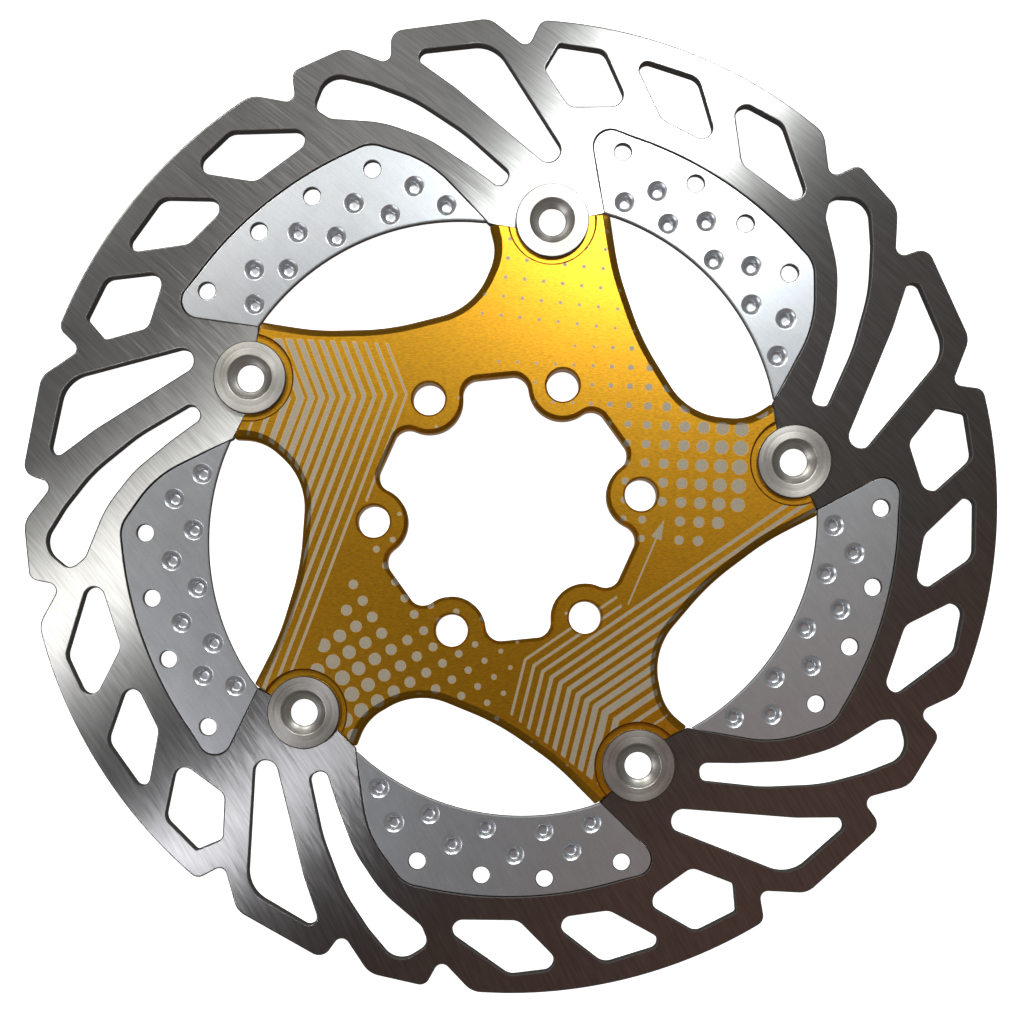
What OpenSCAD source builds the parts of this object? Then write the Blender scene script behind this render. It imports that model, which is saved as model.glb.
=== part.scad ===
// Two-piece floating brake disc rotor.
// Frame: origin on the disc axis at the hub face, +Z towards the front face.
// Arm outlines are given once, for an arm that points along +Y, and repeated.

/* [Friction ring] */
// Outer radius of the friction ring
disc_r = 80; // [79.6:0.1:80.4]
// Radius where the braking track ends and the fin pockets begin
track_r = 64; // [63.8:0.1:64.2]
// Thickness of the friction ring
ring_t = 1.8; // [1.6:0.1:2]
// Width of the rear ledge that carries each fin
ledge_w = 0.7; // [0.6:0.05:0.9]
// Thickness of that ledge
ledge_t = 0.5; // [0.4:0.05:0.6]

/* [Carrier] */
// Thickness of the carrier
carrier_t = 3; // [2.9:0.1:3.4]
// Width and height of the bevel along the arms
arm_bevel = 1.3; // [0.6:0.1:1.4]
// Width and height of the bevel round the centre opening
eye_bevel = 0.6; // [0.3:0.1:0.8]
// Diameter of the pad on the rear that meets the hub
pad_d = 60; // [57:0.5:62]
// Height of that pad over the rear of the arms
pad_h = 0.15; // [0.1:0.05:0.15]
// Diameter of the hub bolt circle
bolt_pcd = 44; // [43.8:0.1:44.2]
// Diameter of a hub bolt hole
bolt_d = 5.3; // [5:0.1:5.5]
// Angle of the first hub bolt hole
bolt_angle = 5.6; // [0:0.1:60]
// Radius of the lobe round a bolt hole
lobe_r = 5.6; // [5.3:0.1:5.8]
// Radius that the scallops between the lobes reach
scallop_r = 21.8; // [21.4:0.1:22]
// Fillet between lobe and scallop
scallop_fillet = 2.6; // [2.2:0.1:2.8]

/* [Bobbins] */
// Angle of the first bobbin
bobbin_angle = 9.1; // [0:0.1:72]
// Radius of the circle of bobbins
bobbin_r = 47.4; // [47.3:0.1:47.5]
// Diameter of a bobbin's front flange
flange_d = 12; // [11:0.1:12.4]
// Thickness of the flange
flange_t = 0.85; // [0.6:0.05:0.9]
// Diameter of the barrel between ring and carrier
barrel_d = 8; // [7.6:0.1:8.2]
// Diameter of the through bore
bore_d = 4.5; // [4:0.1:5]
// Diameter of the countersunk mouth
mouth_d = 7.5; // [6.5:0.1:8]
// Radial clearance of the barrel in its seats
seat_gap = 0.1; // [0.06:0.02:0.2]
// Axial clearance of the ring on each side
float_gap = 0.2; // [0.15:0.05:0.3]
// Diameter of the counterbore in the carrier
counterbore_d = 14; // [13:0.1:14.2]

/* [Washers] */
// Diameter of the rear washer
washer_d = 11.8; // [11:0.1:12.4]
// Thickness of the rear washer
washer_t = 0.8; // [0.7:0.05:1]
// Space for the wave washer
wave_space = 0.5; // [0.45:0.05:0.7]
// Stock thickness of the wave washer
wave_t = 0.2; // [0.15:0.05:0.25]
// Number of waves
waves = 3; // [2:1:5]

/* [Cooling fins] */
// Thickness of a fin
fin_t = 1.6; // [1.3:0.05:1.7]
// Diameter of the through holes
fin_hole_d = 2.8; // [2.2:0.1:3]
// Diameter of a dimple at the face
dimple_d = 3; // [2.6:0.1:3.2]
// Depth of a dimple
dimple_depth = 0.8; // [0.4:0.05:0.9]

/* [Hidden] */

arms = 5;
bolts = 6;
pitch = 360 / arms;
ring_z = float_gap;               // rear face of the ring
ring_top = ring_z + ring_t;
flange_z = ring_top + float_gap;  // floor of the counterbore
fin_z = ring_z + ledge_t;
slit = 0.06;                      // gap round a fin in its pocket
deep = 0.02;
tail_r = barrel_d / 2 - 0.8;      // spigot that goes through the rear washer
flare_r = tail_r + 0.6;

// ---- outline helpers: a corner is [x, y, radius] ----
function unit(v) = v / norm(v);
function xy(p) = [p[0], p[1]];
function turned(P, a) = [for (p = P) [p[0] * cos(a) - p[1] * sin(a), p[0] * sin(a) + p[1] * cos(a), p[2]]];
function wrap(d) = d > 180 ? d - 360 : d < -180 ? d + 360 : d;
function steps(r, w) = max(3, min(9, ceil(sqrt(r) * w / 22)));
// points of the arc that rounds corner b between a and c
function corner(a, b, c, r) = r <= 0 ? [b] :
    let (u = unit(a - b), v = unit(c - b), h = acos(max(-1, min(1, u * v))) / 2,
        m = b + unit(u + v) * (r / sin(h)), s = b + u * (r / tan(h)) - m, e = b + v * (r / tan(h)) - m,
        a0 = atan2(s[1], s[0]), d = wrap(atan2(e[1], e[0]) - a0), n = steps(r, abs(d)))
    [for (i = [0:n]) m + r * [cos(a0 + d * i / n), sin(a0 + d * i / n)]];
function rounded(P) = let (n = len(P)) [for (i = [0:n - 1])
    each corner(xy(P[(i + n - 1) % n]), xy(P[i]), xy(P[(i + 1) % n]), P[i][2])];
// the same outline with edge i moved to its right by D[i]; corners keep their number of points
function shifted(P, D) = let (n = len(P)) [for (i = [0:n - 1])
    let (a = xy(P[(i + n - 1) % n]), b = xy(P[i]), c = xy(P[(i + 1) % n]),
        u = unit(b - a), v = unit(c - b), p = [u[1], -u[0]], q = [v[1], -v[0]],
        d = D[(i + n - 1) % n], e = D[i], k = u[0] * v[1] - u[1] * v[0])
    abs(k) < 0.001 ? concat(b + p * d, P[i][2]) :
    let (w = b + p * d + u * (((e - d * (p * q)) / (u * q))))
    [w[0], w[1], P[i][2] == 0 ? 0 : max(0.05, P[i][2] + sign(k) * min(d, e))]];
function rounded_like(P, R) = let (n = len(P)) [for (i = [0:n - 1])
    let (m = len(corner(xy(R[(i + n - 1) % n]), xy(R[i]), xy(R[(i + 1) % n]), R[i][2])))
    each again(corner(xy(P[(i + n - 1) % n]), xy(P[i]), xy(P[(i + 1) % n]), P[i][2]), m)];
function again(A, m) = [for (i = [0:m - 1]) let (t = m == 1 ? 0 : i * (len(A) - 1) / (m - 1), j = min(floor(t), max(0, len(A) - 2)))
    len(A) == 1 ? A[0] : A[j] + (A[j + 1] - A[j]) * (t - j)];
// loft of equal-length clockwise outlines L[i] at heights Z[i], ends closed about the point c
module loft(L, Z, c) {
    n = len(L[0]);
    m = len(L);
    pts = concat([for (i = [0:m - 1]) for (p = L[i]) [p[0], p[1], Z[i]]],
        [[c[0], c[1], Z[0]], [c[0], c[1], Z[m - 1]]]);
    sides = [for (i = [0:m - 2]) for (j = [0:n - 1]) let (k = (j + 1) % n)
        each [[i * n + j, i * n + k, (i + 1) * n + k], [i * n + j, (i + 1) * n + k, (i + 1) * n + j]]];
    low = [for (j = [0:n - 1]) [m * n, (j + 1) % n, j]];
    high = [for (j = [0:n - 1]) [m * n + 1, (m - 1) * n + j, (m - 1) * n + (j + 1) % n]];
    polyhedron(pts, concat(low, sides, high), convexity = 10);
}
module each_arm() { for (k = [0:arms - 1]) rotate(bobbin_angle - 90 + pitch * k) children(); }
module one_arm(k) { rotate(bobbin_angle - 90 + pitch * k) children(); }

// ---- friction ring outlines, arm along +Y, clockwise ----
function rim(k) = turned(concat(
    [[-8.4, 74.8, 1.2], [-6.9, 79.7, 1.8]],
    [for (a = [-2.5:2.5:27.5]) [disc_r * sin(a), disc_r * cos(a), 0]],
    [[41.5, 68.4, 4], [43.6, 61.2, 1.3], [47.9, 64.1, 1.7], [55.3, 58, 4],
     [56.2, 49.95, 1.3], [61.05, 52.5, 2.2], [70.15, 38.85, 3.5]]), -pitch * k);
RIM = [for (k = [0:arms - 1]) each rim(k)];
WINDOWS = [
    [[-3.4, 76.3, 0.6], [4, 76.3, 2], [9.5, 67.9, 1.9], [-0.2, 66.4, 1.9], [-5.2, 71.9, 1.2]],
    [[8.6, 76, 1.35], [19.9, 74.1, 2.5], [25.1, 63.2, 1.75], [15.1, 66.6, 2.5]],
    [[25.8, 72, 1.8], [34.7, 68.8, 2.5], [42.3, 54.5, 1.75], [29.2, 61.3, 2.5]],
    [[43.9, 54.9, 2.5], [44.2, 58.3, 2], [50.5, 58.9, 3.5], [52.2, 51.5, 12], [53, 44.2, 25], [51.9, 34.5, 25],
     [49.2, 24.4, 1.3], [46.2, 24.5, 1.3], [47.3, 31, 20], [48.2, 39, 20], [47.3, 46.8, 20]],
    [[59.1, 48.9, 1.35], [67, 36.5, 5.5], [50.3, 8.1, 2], [57.6, 38.8, 15]]];
// inner edge of the ring: tab at the bobbin, then round the fin with the ledge left standing
function inner(k) = turned(concat(
    [[-10.15, 45.75, 0.2], [-4.5, 45.6, 0], [5.5, 49.2, 0], [8.1, 50.2, 0.2], [3.65, 63.7, 2.4]],
    [for (a = [10:2.5:40]) [(track_r - ledge_w) * sin(a), (track_r - ledge_w) * cos(a), 0]],
    [[42.7, 46.5, 4.5], [44.9, 37.3, 18]]), -pitch * k);
INNER = [for (k = [0:arms - 1]) each inner(k)];

// ---- cooling fin outline, clockwise, inner edge a true arc ----
arc_c = [2.6, 10.3];
arc_r = 40.3;
function fin_outline(g) = concat(
    [[8.45 - g, 50.3, 0.15], [3.3 - g, 64.8, 2.8]],
    [for (a = [10:2.5:40]) [(track_r + g) * sin(a), (track_r + g) * cos(a), 0]],
    [[43.3 + g, 47.4, 5], [45 + g, 37.3, 18], [40.5 + g, 24.3, 0.15]]);
// the part of a fin that hangs down inside the ledge
function fin_low(e) = concat(
    [[8.6, 50.3, 0.15], [3.85 + e, 63.6, 2.3]],
    [for (a = [10:2.5:40]) [(track_r - ledge_w - e) * sin(a), (track_r - ledge_w - e) * cos(a), 0]],
    [[42.6 - e, 46.5, 4.5], [44.8 - e, 37.3, 18], [40.4, 24.4, 0.15]]);
function fin_inner(r) = [for (a = [21:4.5:79.5]) concat(arc_c + r * [cos(a), sin(a)], 0)];
HOLES = [[61.2, 9.06], [61.3, 21.24], [60.6, 31.06], [60, 41.37]];
DIMPLES = [[11.2, 52.4], [16.2, 55], [18.8, 50], [24.9, 51.3], [27.1, 45.3], [33.3, 45.2], [34.3, 39], [40.2, 37.6], [39.8, 31.4]];

// ---- carrier outlines, clockwise ----
TIP = [[-10.1, 45.4, 0.3], [-4.5, 45.4, 0], [5.5, 49, 0], [9.2, 49.75, 1]];
SIDE = [[12, 41.2, 40], [17.5, 30.8, 40], [26.9, 19.9, 11], [36.5, 20.45, 8]];
ARMS = [for (k = [0:arms - 1]) each turned(concat(TIP, SIDE), -pitch * k)];
// open space between two arms, its ends run on past the arm tips
function past(a, b, t) = concat(xy(a) + (xy(b) - xy(a)) * t, 0);
GAP = concat([past(SIDE[0], TIP[3], 1.5), [26, 50, 0], past(SIDE[3], turned(TIP, -pitch)[0], 1.7)],
    [for (i = [3:-1:0]) SIDE[i]]);
function gap(g) = rounded_like(shifted(GAP, [0, 0, -g, -g, -g, -g, -g]), GAP);
// centre opening, grown by g: lobe arc, fillet, scallop arc, fillet, six times, clockwise
function arc(c, r, a, b, n) = [for (i = [0:n]) c + r * [cos(a + (b - a) * i / n), sin(a + (b - a) * i / n)]];
function eye(g) = let (pr = bolt_pcd / 2, fd = scallop_r - scallop_fillet, ld = lobe_r + scallop_fillet,
        w = acos((fd * fd + pr * pr - ld * ld) / (2 * fd * pr)),
        f = fd * [cos(w), sin(w)] - [pr, 0], t = atan2(f[1], f[0]))
    [for (i = [bolts - 1:-1:0]) let (q = bolt_angle + i * 360 / bolts, c = pr * [cos(q), sin(q)],
            fl = fd * [cos(q - w), sin(q - w)], fr = fd * [cos(q + w), sin(q + w)])
        each concat(
            arc(fr, scallop_fillet + g, q + w, q + t - 180, 6),
            arc(c, lobe_r - g, q + t, q + 360 - t, 12),
            arc(fl, scallop_fillet + g, q + 180 - t, q - w, 6))];

// ---- pieces ----
module spider() {
    color("goldenrod") difference() {
        one_arm(0) linear_extrude(carrier_t) polygon(rounded(ARMS));
        each_arm() loft([gap(-0.3), gap(arm_bevel + 0.3)], [carrier_t - arm_bevel - 0.3, carrier_t + 0.3], [26, 35]);
        loft([eye(0), eye(0), eye(eye_bevel + 0.3)], [-1, carrier_t - eye_bevel, carrier_t + 0.3], [0, 0]);
        translate([0, 0, -1]) difference() {
            cylinder(r = bobbin_r + 10, h = 1 + pad_h, $fn = 96);
            translate([0, 0, -1]) cylinder(d = pad_d, h = 3 + pad_h, $fn = 96);
        }
        for (i = [0:bolts - 1]) rotate(bolt_angle + i * 360 / bolts) translate([bolt_pcd / 2, 0, -1])
            cylinder(d = bolt_d, h = carrier_t + 2, $fn = 64);
        each_arm() translate([0, bobbin_r, -1]) {
            cylinder(r = barrel_d / 2 + seat_gap, h = carrier_t + 2, $fn = 64);
            translate([0, 0, 1 + flange_z]) cylinder(d = counterbore_d, h = carrier_t, $fn = 96);
        }
    }
}
module brake_ring() {
    color("silver") difference() {
        translate([0, 0, ring_z]) linear_extrude(ring_t) difference() {
            one_arm(0) polygon(rounded(RIM));
            one_arm(0) polygon(rounded(INNER));
            each_arm() for (w = WINDOWS) polygon(rounded(w));
        }
        translate([0, 0, fin_z]) each_arm() linear_extrude(ring_t) polygon(
            concat(rounded(concat(fin_outline(slit), fin_inner(arc_r - 1)))));
        each_arm() translate([0, bobbin_r, -1]) cylinder(r = barrel_d / 2 + seat_gap, h = ring_t + 3, $fn = 64);
    }
}
module fin() {
    difference() {
        union() {
            translate([0, 0, fin_z]) linear_extrude(fin_t - ledge_t)
                polygon(rounded(concat(fin_outline(0), fin_inner(arc_r - 4))));
            translate([0, 0, ring_z]) linear_extrude(ledge_t + 0.2)
                polygon(rounded(concat(fin_low(0.15), fin_inner(arc_r - 4))));
        }
        translate([arc_c[0], arc_c[1], -1]) cylinder(r = arc_r, h = 5, $fn = 180);
        for (h = HOLES) rotate(-h[1]) translate([0, h[0], -1]) cylinder(d = fin_hole_d, h = 5, $fn = 32);
        for (p = DIMPLES) translate([p[0], p[1], ring_z + fin_t - dimple_depth])
            cylinder(r1 = dimple_d / 2 - 0.75, r2 = dimple_d / 2 + deep, h = dimple_depth + deep, $fn = 32);
    }
}
module bobbin() {
    top = flange_z + flange_t;
    low = -wave_space - washer_t;
    b = bore_d / 2;
    m = mouth_d / 2;
    f = flange_d / 2;
    translate([0, bobbin_r, 0]) rotate_extrude($fn = 96) polygon([
        [b, low], [flare_r, low], [tail_r, low + 0.6], [tail_r, -wave_space], [barrel_d / 2, -wave_space],
        [barrel_d / 2, flange_z], [f, flange_z], [f, top - 0.25], [f - 0.3, top], [m + 0.2, top], [m, top - 0.1],
        [b + 0.3, top - 1.2], [b, top - 1.4]]);
}
module rear_washer() {
    low = -wave_space - washer_t;
    c = tail_r + 0.03;
    translate([0, bobbin_r, 0]) rotate_extrude($fn = 96) polygon([
        [c, -wave_space], [c, low + 0.6], [flare_r + 0.03, low], [washer_d / 2 - 0.2, low], [washer_d / 2, low + 0.2],
        [washer_d / 2, -wave_space - 0.2], [washer_d / 2 - 0.2, -wave_space]]);
}
module wave_washer() {
    n = 16 * waves;
    amp = (wave_space - 0.06 - wave_t) / 2;
    ri = barrel_d / 2 + 0.15;
    ro = washer_d / 2 - 0.1;
    pts = [for (i = [0:n - 1]) let (a = i * 360 / n, z = -wave_space / 2 + amp * cos(a * waves))
        each [[ri * cos(a), ri * sin(a), z - wave_t / 2], [ro * cos(a), ro * sin(a), z - wave_t / 2],
              [ro * cos(a), ro * sin(a), z + wave_t / 2], [ri * cos(a), ri * sin(a), z + wave_t / 2]]];
    faces = [for (i = [0:n - 1]) for (j = [0:3]) let (k = (i + 1) % n, l = (j + 1) % 4)
        each [[4 * i + j, 4 * i + l, 4 * k + l], [4 * i + j, 4 * k + l, 4 * k + j]]];
    translate([0, bobbin_r, 0]) polyhedron(pts, faces, convexity = 6);
}
module cooling_fin_1() { color("lightgray") one_arm(0) fin(); }
module cooling_fin_2() { color("lightgray") one_arm(1) fin(); }
module cooling_fin_3() { color("lightgray") one_arm(2) fin(); }
module cooling_fin_4() { color("lightgray") one_arm(3) fin(); }
module cooling_fin_5() { color("lightgray") one_arm(4) fin(); }
module bobbin_1() { color("gray") one_arm(0) bobbin(); }
module bobbin_2() { color("gray") one_arm(1) bobbin(); }
module bobbin_3() { color("gray") one_arm(2) bobbin(); }
module bobbin_4() { color("gray") one_arm(3) bobbin(); }
module bobbin_5() { color("gray") one_arm(4) bobbin(); }
module wave_washer_1() { color("dimgray") one_arm(0) wave_washer(); }
module wave_washer_2() { color("dimgray") one_arm(1) wave_washer(); }
module wave_washer_3() { color("dimgray") one_arm(2) wave_washer(); }
module wave_washer_4() { color("dimgray") one_arm(3) wave_washer(); }
module wave_washer_5() { color("dimgray") one_arm(4) wave_washer(); }
module rear_washer_1() { color("darkgray") one_arm(0) rear_washer(); }
module rear_washer_2() { color("darkgray") one_arm(1) rear_washer(); }
module rear_washer_3() { color("darkgray") one_arm(2) rear_washer(); }
module rear_washer_4() { color("darkgray") one_arm(3) rear_washer(); }
module rear_washer_5() { color("darkgray") one_arm(4) rear_washer(); }

spider();
brake_ring();
cooling_fin_1();
cooling_fin_2();
cooling_fin_3();
cooling_fin_4();
cooling_fin_5();
bobbin_1();
bobbin_2();
bobbin_3();
bobbin_4();
bobbin_5();
wave_washer_1();
wave_washer_2();
wave_washer_3();
wave_washer_4();
wave_washer_5();
rear_washer_1();
rear_washer_2();
rear_washer_3();
rear_washer_4();
rear_washer_5();
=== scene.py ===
"""Looks of a two-piece floating brake disc rotor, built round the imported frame.

Outlines are in millimetres, given for an arm that points along +Y and repeated five times;
a corner is (x, y, radius). Meshes are made in metres, in the frame of the CAD model.
"""
import math

import bmesh
import bpy
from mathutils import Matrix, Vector
from mathutils.geometry import delaunay_2d_cdt


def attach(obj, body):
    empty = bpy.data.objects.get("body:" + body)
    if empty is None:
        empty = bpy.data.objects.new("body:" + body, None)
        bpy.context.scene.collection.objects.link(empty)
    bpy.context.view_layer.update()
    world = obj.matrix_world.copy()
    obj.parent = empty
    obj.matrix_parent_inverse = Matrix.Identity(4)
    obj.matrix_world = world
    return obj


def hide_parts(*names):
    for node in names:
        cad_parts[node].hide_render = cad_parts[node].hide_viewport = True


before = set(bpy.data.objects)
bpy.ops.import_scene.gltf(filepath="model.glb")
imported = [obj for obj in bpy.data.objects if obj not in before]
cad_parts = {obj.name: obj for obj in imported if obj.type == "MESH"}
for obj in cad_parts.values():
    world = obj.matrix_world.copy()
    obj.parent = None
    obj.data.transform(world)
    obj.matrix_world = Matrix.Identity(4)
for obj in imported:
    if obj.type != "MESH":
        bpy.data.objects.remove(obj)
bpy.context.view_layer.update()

MM = 0.001
ARMS = 5
STEP = 360 / ARMS
FIRST = 9.1                      # direction of the first arm
RIVET_R = 47.4                   # radius of the circle of rivets
RING_LOW, LEDGE, RING_TOP = 0.2, 0.7, 2.0
FIN_TOP = 1.8
FLOOR = 2.2                      # floor of the counterbore
CARRIER_TOP = 3.0
GRAIN = math.radians(-49.6)      # direction of the brush lines on the ring at y = 0
BEND = math.radians(0.18)        # and its change per mm of y
ALONG = (math.cos(GRAIN), math.sin(GRAIN))
ACROSS = (-math.sin(GRAIN), math.cos(GRAIN))


# ---------------------------------------------------------------- outlines
def turn(P, deg):
    c, s = math.cos(math.radians(deg)), math.sin(math.radians(deg))
    return [(p[0] * c - p[1] * s, p[0] * s + p[1] * c) + tuple(p[2:]) for p in P]


def unit(x, y):
    d = math.hypot(x, y)
    return x / d, y / d


def corner(a, b, c, r, n=0):
    """Points of the arc that rounds corner b between a and c."""
    if r <= 0:
        return [(b[0], b[1])] * max(n, 1)
    ux, uy = unit(a[0] - b[0], a[1] - b[1])
    vx, vy = unit(c[0] - b[0], c[1] - b[1])
    h = math.acos(max(-1, min(1, ux * vx + uy * vy))) / 2
    wx, wy = unit(ux + vx, uy + vy)
    mx, my = b[0] + wx * r / math.sin(h), b[1] + wy * r / math.sin(h)
    t = r / math.tan(h)
    a0 = math.atan2(b[1] + uy * t - my, b[0] + ux * t - mx)
    d = math.atan2(b[1] + vy * t - my, b[0] + vx * t - mx) - a0
    d = (d + math.pi) % (2 * math.pi) - math.pi
    m = n - 1 if n else max(4, min(26, math.ceil(math.sqrt(r) * abs(math.degrees(d)) / 8)))
    return [(mx + r * math.cos(a0 + d * i / m), my + r * math.sin(a0 + d * i / m)) for i in range(m + 1)]


def rounded(P, counts=None):
    """Rounded closed outline and the number of points that each corner became."""
    n, out, made = len(P), [], []
    for i in range(n):
        c = corner(P[i - 1], P[i], P[(i + 1) % n], P[i][2], counts[i] if counts else 0)
        out += c
        made.append(len(c))
    return out, made


def shifted(P, D):
    """Outline with edge i moved to its right by D[i]."""
    n, out = len(P), []
    for i in range(n):
        a, b, c = P[i - 1], P[i], P[(i + 1) % n]
        ux, uy = unit(b[0] - a[0], b[1] - a[1])
        vx, vy = unit(c[0] - b[0], c[1] - b[1])
        d, e = D[i - 1], D[i]
        k = ux * vy - uy * vx
        if abs(k) < 0.001:
            out.append((b[0] + uy * d, b[1] - ux * d, b[2]))
            continue
        pq, uq = uy * vy + ux * vx, ux * vy - uy * vx
        t = (e - d * pq) / uq
        r = 0 if b[2] == 0 else max(0.05, b[2] + math.copysign(min(d, e), k))
        out.append((b[0] + uy * d + ux * t, b[1] - ux * d + uy * t, r))
    return out


def push(L, d):
    """Closed point loop moved to its right by d, one number or one for each point."""
    n, out = len(L), []
    for i in range(n):
        (x0, y0), (x, y), (x1, y1) = L[i - 1], L[i], L[(i + 1) % n]
        ux, uy = unit(x - x0, y - y0)
        vx, vy = unit(x1 - x, y1 - y)
        mx, my = unit(uy + vy, -ux - vx)
        c = max(0.5, mx * uy - my * ux)
        w = d[i] if isinstance(d, list) else d
        out.append((x + mx * w / c, y + my * w / c))
    return out


def cuts(L, longest):
    n = len(L)
    return [max(1, math.ceil(math.dist(L[i], L[(i + 1) % n]) / longest)) for i in range(n)]


def divided(L, C):
    out, n = [], len(L)
    for i in range(n):
        (x, y), (x1, y1) = L[i], L[(i + 1) % n]
        out += [(x + (x1 - x) * j / C[i], y + (y1 - y) * j / C[i]) for j in range(C[i])]
    return out


def circle(x, y, r, n=48):
    return [(x + r * math.cos(2 * math.pi * i / n), y - r * math.sin(2 * math.pi * i / n)) for i in range(n)]


def arc(c, r, a, b, n):
    return [(c[0] + r * math.cos(math.radians(a + (b - a) * i / n)),
             c[1] + r * math.sin(math.radians(a + (b - a) * i / n))) for i in range(n + 1)]


def meets(a, b, c, r):
    """Where segment a-b crosses the circle, as points in the order they are met."""
    dx, dy = b[0] - a[0], b[1] - a[1]
    fx, fy = a[0] - c[0], a[1] - c[1]
    A, B, C = dx * dx + dy * dy, 2 * (fx * dx + fy * dy), fx * fx + fy * fy - r * r
    root = math.sqrt(max(0, B * B - 4 * A * C))
    ts = [(-B - root) / (2 * A), (-B + root) / (2 * A)]
    return [(a[0] + dx * t, a[1] + dy * t) for t in ts if 0 <= t <= 1]


def bearing(p, c):
    return math.degrees(math.atan2(p[1] - c[1], p[0] - c[0]))


def all_arms(P):
    return [q for k in range(ARMS) for q in turn(P, FIRST - 90 - STEP * k)]


def track(r, step=1.25):
    return [(r * math.sin(math.radians(10 + step * i)), r * math.cos(math.radians(10 + step * i)), 0)
            for i in range(int(30 / step) + 1)]


SEAT = (0, RIVET_R)
SEAT_R = 4.1


def seat(a, b, way):
    """Edge a-b with the half-round seat of the rivet cut in it: way 1 bulges outwards, -1 inwards."""
    p, q = meets(a, b, SEAT, SEAT_R)
    s, e = bearing(p, SEAT) % 360, bearing(q, SEAT) % 360
    e = e if way > 0 else e + 360
    return [(x, y, 0) for x, y in arc(SEAT, SEAT_R, s, e, 22)]


RIM = all_arms([(-8.4, 74.8, 1.2), (-6.9, 79.7, 1.8)]
               + [(79.97 * math.sin(math.radians(-2.5 + 1.25 * i)), 79.97 * math.cos(math.radians(-2.5 + 1.25 * i)), 0)
                  for i in range(25)]
               + [(41.5, 68.4, 4), (43.6, 61.2, 1.3), (47.9, 64.1, 1.7), (55.3, 58, 4),
                  (56.2, 49.95, 1.3), (61.05, 52.5, 2.2), (70.15, 38.85, 3.5)])
WINDOWS = [
    [(-3.4, 76.3, 0.6), (4, 76.3, 2), (9.5, 67.9, 1.9), (-0.2, 66.4, 1.9), (-5.2, 71.9, 1.2)],
    [(8.6, 76, 1.35), (19.9, 74.1, 2.5), (25.1, 63.2, 1.75), (15.1, 66.6, 2.5)],
    [(25.8, 72, 1.8), (34.7, 68.8, 2.5), (42.3, 54.5, 1.75), (29.2, 61.3, 2.5)],
    [(43.9, 54.9, 2.5), (44.2, 58.3, 2), (50.5, 58.9, 3.5), (52.2, 51.5, 12), (53, 44.2, 25), (51.9, 34.5, 25),
     (49.2, 24.4, 1.3), (46.2, 24.5, 1.3), (47.3, 31, 20), (48.2, 39, 20), (47.3, 46.8, 20)],
    [(59.1, 48.9, 1.35), (67, 36.5, 5.5), (50.3, 8.1, 2), (57.6, 38.8, 15)]]
TAB = [(-10.15, 45.69, 0.2), (-4.5, 45.6, 0)] + seat((-4.5, 45.6), (5.5, 49.2), 1) + [(5.5, 49.2, 0), (8.15, 50.12, 0.2)]
POCKET = TAB + [(3.26, 64.75, 2.8)] + track(64.06) + [(43.36, 47.4, 5), (45.06, 37.3, 18)]
INNER = TAB[:-1] + [(8.46, 50.06, 0.2), (3.6, 63.75, 2.4)] + track(63.3) + [(42.7, 46.5, 4.5), (44.9, 37.3, 18)]

FIN_C, FIN_R = (2.6, 10.3), 40.3
HOLES = [(61.2, 9.06), (61.3, 21.24), (60.6, 31.06), (60, 41.37)]
DIMPLES = [(11.2, 52.4), (16.2, 55), (18.8, 50), (24.9, 51.3), (27.1, 45.3), (33.3, 45.2), (34.3, 39), (40.2, 37.6), (39.8, 31.4)]
FIN_EDGE = [(x, y, 0) for x, y in arc(FIN_C, FIN_R + 0.03, 24, 79.2, 40)]
FIN = [(8.27, 50.18, 0.1), (3.36, 64.75, 2.8)] + track(63.92) + [(43.22, 47.4, 5), (44.9, 37.3, 18), (40.42, 24.3, 0.08)] + FIN_EDGE
FIN_LOW = [(8.66, 50.2, 0.25), (4.05, 63.6, 2.3)] + track(63.12) + [(42.4, 46.5, 4.5), (44.6, 37.3, 18), (40.36, 24.42, 0.08)] + FIN_EDGE

TIP = [(-10.1, 45.49, 0.3), (-4.5, 45.49, 0), (5.5, 49.09, 0), (9.17, 49.95, 0.32)]
SIDE = [(12, 41.2, 40), (17.5, 30.8, 40), (26.9, 19.9, 11), (36.5, 20.45, 8)]
BOLT_R, BOLT_AT, BOLTS = 22, 5.6, 6
LOBE, SCALLOP, FILLET = 5.6, 21.8, 2.6


def eye(g):
    """Centre opening grown by g, clockwise."""
    fd, ld = SCALLOP - FILLET, LOBE + FILLET
    w = math.degrees(math.acos((fd * fd + BOLT_R * BOLT_R - ld * ld) / (2 * fd * BOLT_R)))
    t = math.degrees(math.atan2(fd * math.sin(math.radians(w)), fd * math.cos(math.radians(w)) - BOLT_R))
    out = []
    for i in range(BOLTS - 1, -1, -1):
        q = BOLT_AT + i * 360 / BOLTS
        at = lambda r, a: (r * math.cos(math.radians(a)), r * math.sin(math.radians(a)))
        out += arc(at(fd, q + w), FILLET + g, q + w, q + t - 180, 12)
        out += arc(at(BOLT_R, q), LOBE - g, q + t, q + 360 - t, 30)
        out += arc(at(fd, q - w), FILLET + g, q + 180 - t, q - w, 12)
    keep = []
    for p in out:
        if not keep or math.dist(p, keep[-1]) > 1e-4:
            keep.append(p)
    return keep


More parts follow.
